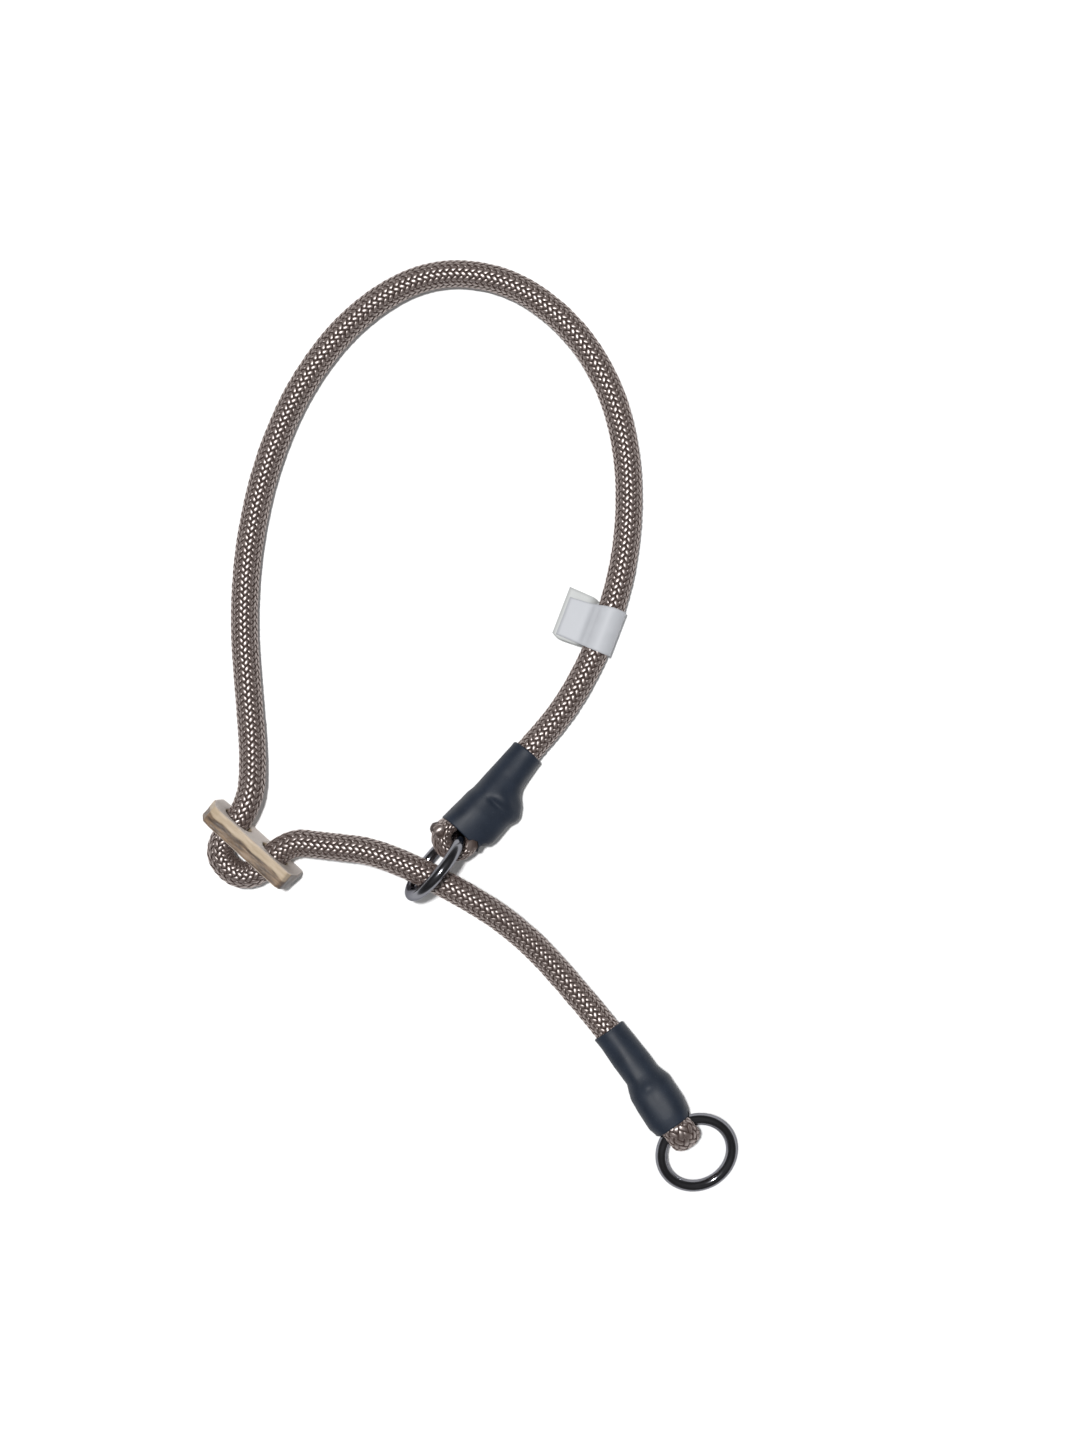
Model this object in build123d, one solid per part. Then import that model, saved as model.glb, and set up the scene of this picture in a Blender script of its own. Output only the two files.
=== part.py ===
from build123d import *
import os
from math import cos, radians, sin, tan

# Rope slip collar lying flat on a surface, in millimetres, +Z up.
# One 8 mm braided cord makes the neck loop, the bight through the stop, the tail and both eyes.
# The origin is at the middle of the object's box, on the surface that it lies on.

# ---- cord
CORD_DIAMETER = 8.0
SQUASHED_THICKNESS = 5.6     # cord pressed flat where it turns round a ring's wire
SQUASHED_WIDTH = 9.4
ARC_SHARE = 0.45             # share of the shorter run that each corner's arc takes up

# The cord's route, from the cut end in the sliding eye to the cut end in the lead eye.
SLIDING_EYE_ROUTE = [
    (11.8, -19.1, 5.9), (8.2, -23.9, 6.6), (3.3, -28.0, 7.8), (-2.2, -36.1, 8.9),
    (-7.9, -35.2, 10.3), (-9.1, -29.5, 10.9), (-1.1, -23.6, 9.1), (5.0, -18.8, 7.7),
    (11.5, -12.6, 6.2), (17.9, -5.1, 5.1),
]
NECK_LOOP_ROUTE = [
    (26.0, 4.0, 4.6), (34.4, 17.6, 4.6), (42.2, 36.4, 4.6), (46.6, 57.0, 4.1),
    (46.8, 80.2, 4.0), (41.4, 102.4, 4.0), (28.6, 121.6, 4.0), (9.6, 134.4, 4.0),
    (-13.0, 135.9, 4.0), (-33.6, 123.9, 4.0), (-49.2, 105.0, 4.0), (-59.6, 82.6, 4.0),
    (-65.6, 58.6, 4.0), (-67.7, 33.4, 4.0), (-65.9, 9.6, 4.1), (-64.4, -7.4, 5.0),
]
STOP_BIGHT_ROUTE = [
    (-64.9, -22.8, 8.2), (-76.7, -35.8, 6.4), (-66.0, -45.5, 6.4), (-54.2, -32.6, 8.2),
]
TAIL_ROUTE = [
    (-43.4, -33.3, 9.3), (-26.4, -36.2, 10.2), (3.5, -50.2, 10.2), (19.2, -63.0, 5.6),
    (31.6, -78.1, 4.2),
]
LEAD_EYE_ROUTE = [
    (40.9, -89.3, 5.3), (46.2, -96.5, 5.8), (51.0, -103.1, 4.8), (56.3, -110.4, 4.6),
    (62.2, -118.6, 3.8), (63.9, -120.9, 9.0), (61.7, -117.8, 13.6), (55.9, -109.9, 11.0),
    (51.5, -103.8, 10.5),
]
ROUTE = [
    Vector(*point)
    for run in (SLIDING_EYE_ROUTE, NECK_LOOP_ROUTE, STOP_BIGHT_ROUTE, TAIL_ROUTE, LEAD_EYE_ROUTE)
    for point in run
]

# Runs of the route at whose middles the cord changes node: run k goes from point k to point k + 1.
NECK_LOOP_START = len(SLIDING_EYE_ROUTE) - 1
BIGHT_START = NECK_LOOP_START + len(NECK_LOOP_ROUTE) + 1
TAIL_START = BIGHT_START + len(STOP_BIGHT_ROUTE) - 2
LEAD_EYE_START = TAIL_START + len(TAIL_ROUTE) + 1
SLIDING_EYE_SQUASH = 7       # run in which the round cord goes over into the squashed one
LEAD_EYE_SQUASH = LEAD_EYE_START + 2

# ---- rings
WIRE_DIAMETER = 3.5
RING_INNER_DIAMETER = 18.0
RING_RADIUS = (RING_INNER_DIAMETER + WIRE_DIAMETER) / 2
WIRE_CLEARANCE = 0.25
SLIDING_RING_CENTRE = Vector(-10.46, -39.69, 12.35)
SLIDING_RING_AXIS = Vector(0.749, -0.624, -0.225)
SLIDING_EYE_HOLE = Vector(-4.29, -31.31, 9.64)
LEAD_EYE_HOLE = Vector(60.8, -116.6, 8.5)
LEAD_RING_DROP = 18.2        # degrees that the lead ring slopes down from its eye

# ---- sleeves of shrunk tube: each station is distance from the hole, shift and half width
#      in the eye's plane, half width through it, and how round its corners are
SLEEVE_WALL = 0.5
SLIDING_MOUTH = Vector(16.8, -6.5, 5.2)
SLIDING_SLEEVE_STATIONS = [
    (2.1, -0.2, 7.7, 5.9, 0.85), (5.0, -0.4, 7.9, 6.1, 0.85), (11.2, -1.0, 7.9, 6.1, 0.85),
    (16.0, -2.0, 8.0, 5.8, 0.9), (20.8, -1.6, 7.0, 5.4, 0.9), (24.0, -0.2, 5.2, 5.0, 0.95),
    (33.1, 0.0, 4.7, 4.7, 0.98),
]
LEAD_MOUTH = Vector(40.6, -88.8, 5.2)
LEAD_SLEEVE_STATIONS = [
    (2.1, 0.0, 7.6, 6.0, 0.85), (5.0, 0.0, 7.75, 6.4, 0.85), (11.2, -0.2, 7.6, 6.5, 0.85),
    (15.8, -0.4, 7.0, 6.4, 0.9), (19.5, 1.0, 5.4, 5.5, 0.95), (26.0, 0.4, 4.9, 5.1, 0.97),
    (34.5, 0.0, 4.7, 4.8, 0.98),
]

# ---- thread turns that bind the two legs of each eye: shift and half width of the first
#      and of the last turn, in the eye's plane
THREAD_DIAMETER = 0.7
THREAD_TURNS = 7
THREAD_PITCH = 0.9
THREAD_FIRST = 5.4           # distance of the first turn from the eye's hole
THREAD_CORNER = 4.2
SLIDING_WHIPPING = [(-0.4, 6.9), (-0.95, 6.5)]
LEAD_WHIPPING = [(-0.05, 6.85), (-0.3, 6.35)]

# ---- antler stop
STOP_CENTRE = Vector(-64.9, -33.6, 7.4)
STOP_ALONG = Vector(0.740, -0.673, 0.0)
STOP_LEAN = 6.0              # degrees that its top leans towards the bight
STOP_LENGTH = 30.0
STOP_THICKNESS = 6.0
STOP_BELOW = 7.1
STOP_ABOVE = 7.2
STOP_END_SLANT = 3.0
STOP_EDGE_ROUNDING = 1.3
STOP_HOLE_DIAMETER = 9.3
STOP_HOLE_SPACING = 14.5

# ---- price tag of film, wrapped round the cord and stuck to itself
TAG_CENTRE = Vector(39.4, 29.75, 4.6)      # on the cord's line
TAG_ALONG = Vector(0.3579, 0.9338, 0)
TAG_WIDTH = 13.5
TAG_FILM = 0.2
TAG_BORE_RADIUS = CORD_DIAMETER / 2 + 0.25
TAG_REACH = 12.6


def run_length(k):
    return (ROUTE[k + 1] - ROUTE[k]).length


def run_middle(k):
    return (ROUTE[k] + ROUTE[k + 1]) * 0.5


def run_direction(k):
    return (ROUTE[k + 1] - ROUTE[k]).normalized()


def corner_radius(k):
    """Radius of the arc at point k of the route, as large as its two runs allow."""
    turn = radians(run_direction(k - 1).get_angle(run_direction(k)))
    return ARC_SHARE * min(run_length(k - 1), run_length(k)) / tan(turn / 2)


def cord_path(first_run=None, last_run=None):
    """Straight runs joined by arcs, from the middle of one run to the middle of another."""
    start = 0 if first_run is None else first_run + 1
    end = len(ROUTE) - 1 if last_run is None else last_run
    points = ROUTE[start:end + 1]
    corners = range(start, end + 1)
    if first_run is None:
        corners = corners[1:]
    else:
        points = [run_middle(first_run)] + points
    if last_run is None:
        corners = corners[:-1]
    else:
        points = points + [run_middle(last_run)]
    return FilletPolyline(*points, radius=[corner_radius(k) for k in corners])


def sweep_section(path, section, across):
    """Sweep a flat section along the path, its own x axis starting along the given direction."""
    start_plane = Plane(origin=path @ 0, x_dir=across, z_dir=path % 0)
    return sweep(start_plane * section, path=path)


def round_cord(first_run, last_run):
    path = cord_path(first_run, last_run)
    return sweep_section(path, Circle(CORD_DIAMETER / 2), across_run(path % 0))


def across_run(direction):
    return Vector(0, 0, 1).cross(direction).normalized()


def eye_frame(hole, mouth, hole_direction):
    """Directions of an eye: along its sleeve, across in the eye's plane, and through its hole."""
    along = (mouth - hole).normalized()
    through = (hole_direction - along * hole_direction.dot(along)).normalized()
    across = through.cross(along)
    return along, across, through


SLIDING_WIRE = SLIDING_RING_AXIS.cross(SLIDING_EYE_HOLE - SLIDING_RING_CENTRE).normalized()
SLIDING_FRAME = eye_frame(SLIDING_EYE_HOLE, SLIDING_MOUTH, SLIDING_WIRE)
LEAD_WIRE = Vector(0, 0, 1).cross(LEAD_MOUTH - LEAD_EYE_HOLE).normalized()
LEAD_FRAME = eye_frame(LEAD_EYE_HOLE, LEAD_MOUTH, LEAD_WIRE)


def squashed_eye(path, through):
    """The pressed cord round a ring, its wide side along the hole."""
    direction = path % 0
    wide = (through - direction * through.dot(direction)).normalized()
    return sweep_section(path, Ellipse(SQUASHED_WIDTH / 2, SQUASHED_THICKNESS / 2), wide)


def ring(centre, axis, wire_diameter=WIRE_DIAMETER):
    return Plane(origin=centre, z_dir=axis) * Torus(RING_RADIUS, wire_diameter / 2)


def lead_ring_place():
    outward = (LEAD_EYE_HOLE - LEAD_MOUTH)
    flat = Vector(outward.X, outward.Y, 0).normalized()
    drop = radians(LEAD_RING_DROP)
    toward_centre = flat * cos(drop) - Vector(0, 0, 1) * sin(drop)
    centre = LEAD_EYE_HOLE + toward_centre * RING_RADIUS
    return centre, LEAD_WIRE.cross(toward_centre).normalized()


def wire_room():
    """The room that the lead ring's wire sweeps in its eye as it swings: a waisted barrel."""
    half = SQUASHED_WIDTH / 2 + 1.0
    radius = WIRE_DIAMETER / 2 + WIRE_CLEARANCE
    bulge = RING_RADIUS - (RING_RADIUS ** 2 - half ** 2) ** 0.5
    waist = ThreePointArc((-half, radius + bulge), (0, radius), (half, radius + bulge))
    outline = Polyline((half, radius + bulge), (half, 0), (-half, 0), (-half, radius + bulge))
    barrel = revolve(make_face([waist, outline]), axis=Axis.X, revolution_arc=360)
    return Plane(origin=LEAD_EYE_HOLE, x_dir=LEAD_WIRE, z_dir=LEAD_FRAME[0]) * barrel


def sliding_eye_cord():
    turn = squashed_eye(cord_path(None, SLIDING_EYE_SQUASH), SLIDING_FRAME[2])
    leg = round_cord(SLIDING_EYE_SQUASH, NECK_LOOP_START)
    room = ring(SLIDING_RING_CENTRE, SLIDING_RING_AXIS, WIRE_DIAMETER + 2 * WIRE_CLEARANCE)
    return turn + leg - room


def lead_eye_cord():
    leg = round_cord(LEAD_EYE_START, LEAD_EYE_SQUASH)
    turn = squashed_eye(cord_path(LEAD_EYE_SQUASH, None), LEAD_FRAME[2])
    return leg + turn - wire_room()


def sleeve(hole, frame, stations):
    """Thin shrunk tube, lofted through its stations and open at both ends."""
    along, across, _ = frame

    def skin(thinner, extra):
        faces = []
        for k, (distance, shift, half_across, half_through, roundness) in enumerate(stations):
            past = -extra if k == 0 else extra if k == len(stations) - 1 else 0.0
            centre = hole + along * (distance + past) + across * shift
            place = Plane(centre, x_dir=across, z_dir=along)
            corner = roundness * min(half_across, half_through) - thinner
            size = 2 * (half_across - thinner), 2 * (half_through - thinner)
            faces.append(place * RectangleRounded(*size, corner))
        return loft(faces, ruled=True)

    return skin(0.0, 0.0) - skin(SLEEVE_WALL, 1.0)


def whipping(hole, frame, ends):
    """Separate turns of thread round both legs of an eye."""
    along, across, _ = frame
    (first_shift, first_half), (last_shift, last_half) = ends
    half_through = (SQUASHED_WIDTH + THREAD_DIAMETER) / 2
    turns = []
    for k in range(THREAD_TURNS):
        share = k / (THREAD_TURNS - 1)
        shift = first_shift + share * (last_shift - first_shift)
        half_across = first_half + share * (last_half - first_half)
        centre = hole + along * (THREAD_FIRST + k * THREAD_PITCH) + across * shift
        place = Plane(centre, x_dir=across, z_dir=along)
        outline = RectangleRounded(2 * half_across, 2 * half_through, THREAD_CORNER)
        loop = (place * outline).wire()
        thread_plane = Plane(origin=loop @ 0, x_dir=along, z_dir=loop % 0)
        turns.append(sweep(thread_plane * Circle(THREAD_DIAMETER / 2), path=loop))
    return Compound(children=turns)


def antler_stop():
    """Sawn slice of antler with slanted ends and a hole for each pass of the cord."""
    lean = radians(STOP_LEAN)
    toward_bight = Vector(STOP_ALONG.Y, -STOP_ALONG.X, 0)
    through = toward_bight * cos(lean) - Vector(0, 0, 1) * sin(lean)
    place = Plane(STOP_CENTRE, x_dir=STOP_ALONG, z_dir=through)
    half = STOP_LENGTH / 2
    outline = make_face(Polyline(
        (-half, -STOP_BELOW), (half - STOP_END_SLANT, -STOP_BELOW),
        (half, STOP_ABOVE), (-half + STOP_END_SLANT, STOP_ABOVE), close=True,
    ))
    slab = extrude(outline, amount=STOP_THICKNESS / 2, both=True)
    slab = fillet(slab.edges(), radius=STOP_EDGE_ROUNDING)
    for side in (-0.5, 0.5):
        drill = Cylinder(STOP_HOLE_DIAMETER / 2, STOP_THICKNESS * 3)
        slab = slab - Pos(side * STOP_HOLE_SPACING, 0, 0) * drill
    return place * slab


def price_tag():
    """Film strip wrapped round the cord, its two ends stuck together as a flap."""
    inward = across_run(TAG_ALONG)
    place = Plane(TAG_CENTRE, x_dir=inward, z_dir=TAG_ALONG)
    wrap = Circle(TAG_BORE_RADIUS + TAG_FILM)
    flap_middle = (TAG_BORE_RADIUS + TAG_REACH) / 2
    flap = Pos(flap_middle, 0) * Rectangle(TAG_REACH - TAG_BORE_RADIUS, 2 * TAG_FILM)
    profile = wrap + flap - Circle(TAG_BORE_RADIUS)
    return place * extrude(profile, amount=TAG_WIDTH / 2, both=True)


def build_parts():
    lead_centre, lead_axis = lead_ring_place()
    return {
        "rope_sliding_eye": sliding_eye_cord(),
        "rope_neck_loop": round_cord(NECK_LOOP_START, BIGHT_START),
        "rope_stop_bight": round_cord(BIGHT_START, TAIL_START),
        "rope_tail": round_cord(TAIL_START, LEAD_EYE_START),
        "rope_lead_eye": lead_eye_cord(),
        "sliding_ring": ring(SLIDING_RING_CENTRE, SLIDING_RING_AXIS),
        "lead_ring": ring(lead_centre, lead_axis),
        "sliding_eye_sleeve": sleeve(SLIDING_EYE_HOLE, SLIDING_FRAME, SLIDING_SLEEVE_STATIONS),
        "lead_eye_sleeve": sleeve(LEAD_EYE_HOLE, LEAD_FRAME, LEAD_SLEEVE_STATIONS),
        "sliding_eye_whipping": whipping(SLIDING_EYE_HOLE, SLIDING_FRAME, SLIDING_WHIPPING),
        "lead_eye_whipping": whipping(LEAD_EYE_HOLE, LEAD_FRAME, LEAD_WHIPPING),
        "antler_stop": antler_stop(),
        "price_tag": price_tag(),
    }


def report_route():
    """Print every arc's radius, and each cord solid's volume against its section and length."""
    for k in range(1, len(ROUTE) - 1):
        turn = run_direction(k - 1).get_angle(run_direction(k))
        print(f"point {k}: turn {turn:.1f} deg, radius {corner_radius(k):.1f} mm")
    section = Circle(CORD_DIAMETER / 2).area
    cuts = NECK_LOOP_START, BIGHT_START, TAIL_START, LEAD_EYE_START
    for first, last in zip(cuts, cuts[1:]):
        share = round_cord(first, last).volume / (section * cord_path(first, last).length)
        print(f"cord {first}-{last}: volume / (section x length) = {share:.4f}")
    print(f"whole cord: {cord_path().length:.1f} mm")


def main():
    report_route()
    os.makedirs("parts", exist_ok=True)
    for name, solid in build_parts().items():
        export_step(solid, f"parts/{name}.step")


main()
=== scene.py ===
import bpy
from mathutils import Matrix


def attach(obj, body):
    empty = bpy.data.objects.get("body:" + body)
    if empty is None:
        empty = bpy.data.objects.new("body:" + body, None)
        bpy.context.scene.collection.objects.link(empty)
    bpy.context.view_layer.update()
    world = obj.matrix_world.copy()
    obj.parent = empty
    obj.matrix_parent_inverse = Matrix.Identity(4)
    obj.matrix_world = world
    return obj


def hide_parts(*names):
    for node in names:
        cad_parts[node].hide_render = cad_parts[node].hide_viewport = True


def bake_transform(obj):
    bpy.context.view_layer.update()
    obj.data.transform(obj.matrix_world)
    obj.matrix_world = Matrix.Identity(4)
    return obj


bl_info = {
    "name": "Rope Slip Collar",
    "version": (1, 0, 0),
    "blender": (4, 5, 0),
    "location": "View3D > Sidebar > Collar",
    "description": "Braided rope slip collar with two rings, sleeves, an antler stop and a price tag",
    "category": "Add Mesh",
}

from math import cos, degrees, pi, radians, sin

import bmesh
import bpy
import numpy as np
from bpy.props import FloatProperty, FloatVectorProperty, IntProperty, PointerProperty
from mathutils import Matrix, Vector, noise

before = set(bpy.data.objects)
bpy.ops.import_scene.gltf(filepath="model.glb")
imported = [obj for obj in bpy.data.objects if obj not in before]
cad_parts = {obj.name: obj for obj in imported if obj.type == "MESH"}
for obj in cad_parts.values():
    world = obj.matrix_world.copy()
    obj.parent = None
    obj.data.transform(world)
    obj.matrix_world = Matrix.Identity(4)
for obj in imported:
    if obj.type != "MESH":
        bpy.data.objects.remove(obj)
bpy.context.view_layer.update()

# ---- the cord's route, in metres, from the cut end in the sliding eye to the one in the lead eye
SLIDING_EYE_ROUTE = [
    (0.0118, -0.0191, 0.0059), (0.0082, -0.0239, 0.0066), (0.0033, -0.0280, 0.0078),
    (-0.0022, -0.0361, 0.0089), (-0.0079, -0.0352, 0.0103), (-0.0091, -0.0295, 0.0109),
    (-0.0011, -0.0236, 0.0091), (0.0050, -0.0188, 0.0077), (0.0115, -0.0126, 0.0062),
    (0.0179, -0.0051, 0.0051),
]
NECK_LOOP_ROUTE = [
    (0.0260, 0.0040, 0.0046), (0.0344, 0.0176, 0.0046), (0.0422, 0.0364, 0.0046),
    (0.0466, 0.0570, 0.0041), (0.0468, 0.0802, 0.0040), (0.0414, 0.1024, 0.0040),
    (0.0286, 0.1216, 0.0040), (0.0096, 0.1344, 0.0040), (-0.0130, 0.1359, 0.0040),
    (-0.0336, 0.1239, 0.0040), (-0.0492, 0.1050, 0.0040), (-0.0596, 0.0826, 0.0040),
    (-0.0656, 0.0586, 0.0040), (-0.0677, 0.0334, 0.0040), (-0.0659, 0.0096, 0.0041),
    (-0.0644, -0.0074, 0.0050),
]
STOP_BIGHT_ROUTE = [
    (-0.0649, -0.0228, 0.0082), (-0.0767, -0.0358, 0.0064), (-0.0660, -0.0455, 0.0064),
    (-0.0542, -0.0326, 0.0082),
]
TAIL_ROUTE = [
    (-0.0434, -0.0339, 0.0093), (-0.0262, -0.0356, 0.0102), (0.0032, -0.0507, 0.0102),
    (0.0188, -0.0634, 0.0056), (0.0315, -0.0781, 0.0042),
]
LEAD_EYE_ROUTE = [
    (0.0409, -0.0893, 0.0053), (0.0462, -0.0965, 0.0058), (0.0510, -0.1031, 0.0048),
    (0.0563, -0.1104, 0.0046), (0.0622, -0.1186, 0.0038), (0.0639, -0.1209, 0.0090),
    (0.0617, -0.1178, 0.0136), (0.0559, -0.1099, 0.0110), (0.0515, -0.1038, 0.0105),
]
ROUTE = (
    SLIDING_EYE_ROUTE + NECK_LOOP_ROUTE + STOP_BIGHT_ROUTE + TAIL_ROUTE + LEAD_EYE_ROUTE
)
# Runs of the route at whose middles something changes: run k goes from point k to point k + 1.
SLIDING_PRESS_RUN = 7        # pressed flat before it, round after it
NECK_LOOP_RUN = 9            # the sliding eye ends and the neck loop starts
STOP_RUN = 26                # the neck loop ends, inside the stop's first hole
LEAD_PRESS_RUN = 36          # round before it, pressed flat after it
LINE_RESOLUTION = 26         # points that each run of the route is drawn with
PRESS_LENGTH = 0.008         # metres in which the round cord goes over into the pressed one
PRESSED_WIDE = 9.4 / 8.0
PRESSED_THIN = 5.6 / 8.0

# ---- places of the hardware, in metres
SLIDING_RING_CENTRE = Vector((-0.01046, -0.03969, 0.01235))
SLIDING_RING_AXIS = Vector((0.749, -0.624, -0.225)).normalized()
SLIDING_EYE_HOLE = Vector((-0.00429, -0.03131, 0.00964))
SLIDING_MOUTH = Vector((0.0168, -0.0065, 0.0052))
LEAD_EYE_HOLE = Vector((0.0608, -0.1166, 0.0085))
LEAD_MOUTH = Vector((0.0406, -0.0888, 0.0052))
SLIDING_TUBE_START = Vector((-0.00285, -0.0305, 0.0094))
LEAD_TUBE_START = Vector((0.0596, -0.1162, 0.0086))
LEAD_RING_CENTRE = Vector((0.06674, -0.12491, 0.00514))
LEAD_RING_AXIS = Vector((0.1820, -0.2547, 0.9499)).normalized()
STOP_CENTRE = Vector((-0.0649, -0.0336, 0.0074))
STOP_ALONG = Vector((0.740, -0.673, 0.0)).normalized()
STOP_LEAN = radians(6.0)
TAG_CENTRE = Vector((0.0394, 0.02975, 0.0046))
TAG_ALONG = Vector((0.3579, 0.9338, 0.0))
# How the joints move the rings: the noose's slips in metres, and the lead ring's swings about
# its eye in degrees.
SLIP_AXIS = Vector((0.9056, -0.4240, 0.0))
SLIPS = (0.0, -0.006, 0.0045, 0.009, 0.0135)
SWING_AXIS = Vector((-0.808988, -0.587826, 0.0))
SWINGS = (0, 23, 46, 69, 92, 115)
UP = Vector((0, 0, 1))

# ---- sizes, counts and shares that no setting changes; sizes are in metres unless a comment
#      says otherwise
FLOAT_OVERLAP = 1.16         # a float's length over the distance between crossings
FLOAT_WIDTH = 0.00128
FLOAT_NARROWING = 0.30       # share of its width that a float loses towards its ends
FLOAT_CROWN = 0.00013        # how far a float's edges lie below its ridge
FLOAT_DIVE = 0.00058         # how far a float's ends lie below its middle
FLOAT_DEPTH = 0.00075        # how far a float's underside lies below its ridge
TURN_JITTER = radians(1.2)
SIZE_JITTER = 0.012
CORE_SHARE = 0.885           # the dark tube under the floats, as a share of the cord's radius
CORE_SIDES = 20
CORE_LIFT = 0.00012          # room left between a ring's wire and the core
YARN_LIFT = 0.00007          # room left between a ring's wire and the yarns
TUBE_LIFT = 0.0002           # room left between a ring's wire and a sleeve
FLOOR_GAP = 0.00002
RING_STEPS = 128
WIRE_STEPS = 40
SLEEVE_ROWS = 96
SLEEVE_SIDES = 72
SLEEVE_LIP = 0.45            # how far a sleeve's lip stands out, as a share of its wall
SLEEVE_RADIUS = 6.5          # millimetres, about the middle size of a sleeve
SLEEVE_RIPPLE = 0.10         # millimetres
SLANT_LENGTH = 12.0          # millimetres in which the slant of a sleeve's wide end fades out
EYE_REACH = 12.0             # millimetres from a sleeve's middle in which all cord is its own eye's
EYE_LENGTH = 4.0             # millimetres of cord before a sleeve that are pressed too
THREAD_RADIUS = 0.00035
THREAD_TURNS = 7
THREAD_START = 3.7           # millimetres from the tube's wide end to the first turn
THREAD_PITCH = 0.9           # millimetres
THREAD_SIDES = 8
STOP_GRAIN = 0.00028         # the finest detail that the stop's skin keeps
TAG_RADIUS = 0.00436
TAG_FILM = 0.00018
TAG_STEPS = 20
FLOOR_REACH = 4.0            # from the middle of the floor to its sides
CAMERA_OVER = (0.0204, 0.0030)
SENSOR_HEIGHT = 36.0         # millimetres
KEY_PLACE = (-0.105, 0.125, 1.34)
KEY_SIZE = 0.09
KEY_POWER = 17.5             # watts
SURROUND = 0.32              # strength of the even light from all round


# ---- small helpers for meshes
def add_object(name, mesh):
    made = bpy.data.objects.new(name, mesh)
    bpy.context.scene.collection.objects.link(made)
    return made


def add_mesh(name, points, faces, material=None, smooth=True):
    mesh = bpy.data.meshes.new(name)
    mesh.from_pydata([tuple(p) for p in points], [], [tuple(f) for f in faces])
    mesh.update()
    mesh.shade_smooth() if smooth else mesh.shade_flat()
    if material:
        mesh.materials.append(material)
    return add_object(name, mesh)


def read_points(mesh):
    points = np.empty(len(mesh.vertices) * 3)
    mesh.vertices.foreach_get("co", points)
    return points.reshape(-1, 3)


def write_points(mesh, points):
    mesh.vertices.foreach_set("co", np.asarray(points, float).ravel())
    mesh.update()


def made_plain(holder, name):
    """A plain mesh object of what holder's modifiers make; holder and its mesh are removed."""
    graph = bpy.context.evaluated_depsgraph_get()
    mesh = bpy.data.meshes.new_from_object(holder.evaluated_get(graph), depsgraph=graph)
    old = holder.data
    bpy.data.objects.remove(holder)
    bpy.data.meshes.remove(old)
    mesh.name = name
    mesh.shade_smooth()
    return add_object(name, mesh)


def face_outwards(mesh):
    work = bmesh.new()
    work.from_mesh(mesh)
    bmesh.ops.recalc_face_normals(work, faces=work.faces)
    work.to_mesh(mesh)
    work.free()


def object_from(work, name):
    """An object of what a bmesh holds; the bmesh is freed."""
    mesh = bpy.data.meshes.new(name)
    work.to_mesh(mesh)
    work.free()
    return add_object(name, mesh)


def store(mesh, label, kind, rows):
    """Keeps a number or a vector for each point of a mesh."""
    field = "vector" if kind == "FLOAT_VECTOR" else "value"
    mesh.attributes.new(label, kind, "POINT").data.foreach_set(field, rows.ravel())


def unit(rows):
    return rows / np.linalg.norm(rows, axis=-1, keepdims=True)


def smooth_step(x):
    x = np.clip(x, 0.0, 1.0)
    return x * x * (3 - 2 * x)


def grid_faces(rows, columns, closed_columns=True, start=0):
    """Quads of a grid of points, its columns running round."""
    faces = []
    for r in range(rows - 1):
        for c in range(columns if closed_columns else columns - 1):
            a, b = start + r * columns + c, start + r * columns + (c + 1) % columns
            faces.append((a, b, b + columns, a + columns))
    return faces


def rod_faces(rows, sides):
    """Quads of a closed rod of points, with a face over each end."""
    last = (rows - 1) * sides
    ends = [tuple(reversed(range(sides))), tuple(range(last, last + sides))]
    return grid_faces(rows, sides) + ends


def frame_of(along, through):
    """Unit directions along, across and through of a piece."""
    along = along.normalized()
    through = (through - along * through.dot(along)).normalized()
    return along, through.cross(along), through


# ---- helpers for node trees
def give(tree, node, inputs):
    """Gives a node's inputs, by name or number, a value or an output socket each."""
    for key, value in inputs.items():
        if isinstance(value, bpy.types.NodeSocket):
            tree.links.new(value, node.inputs[key])
        else:
            node.inputs[key].default_value = value


def put(tree, kind, inputs=None, **settings):
    """Adds a node with its inputs and settings."""
    made = tree.nodes.new(kind)
    for name, value in settings.items():
        setattr(made, name, value)
    give(tree, made, inputs or {})
    return made


def math(tree, operation, *values):
    return put(tree, "ShaderNodeMath", dict(enumerate(values)), operation=operation).outputs[0]


def times(tree, value, amount):
    return math(tree, "MULTIPLY", value, amount)


def vector_math(tree, operation, *values):
    return put(tree, "ShaderNodeVectorMath", dict(enumerate(values)), operation=operation).outputs[0]


def scaled(tree, vector, amount):
    node = put(tree, "ShaderNodeVectorMath", {0: vector, "Scale": amount}, operation="SCALE")
    return node.outputs[0]


def mixed(tree, share, first, second):
    node = put(tree, "ShaderNodeMix", {0: share, 6: first, 7: second}, data_type="RGBA")
    return node.outputs[2]


def rgba(colour, *factors):
    """A colour made darker or paler by one factor, or by one each for red, green and blue."""
    red, green, blue = factors if len(factors) == 3 else (factors or (1.0,)) * 3
    return (colour[0] * red, colour[1] * green, colour[2] * blue, 1)


def ramp(tree, value, *stops):
    """A colour ramp through (place, grey or colour) stops."""
    node = put(tree, "ShaderNodeValToRGB", {0: value})
    elements = node.color_ramp.elements
    while len(elements) < len(stops):
        elements.new(0.5)
    for element, (place, colour) in zip(elements, stops):
        element.position = place
        element.color = (colour, colour, colour, 1) if isinstance(colour, float) else (*colour, 1)
    return node.outputs[0]


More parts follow.
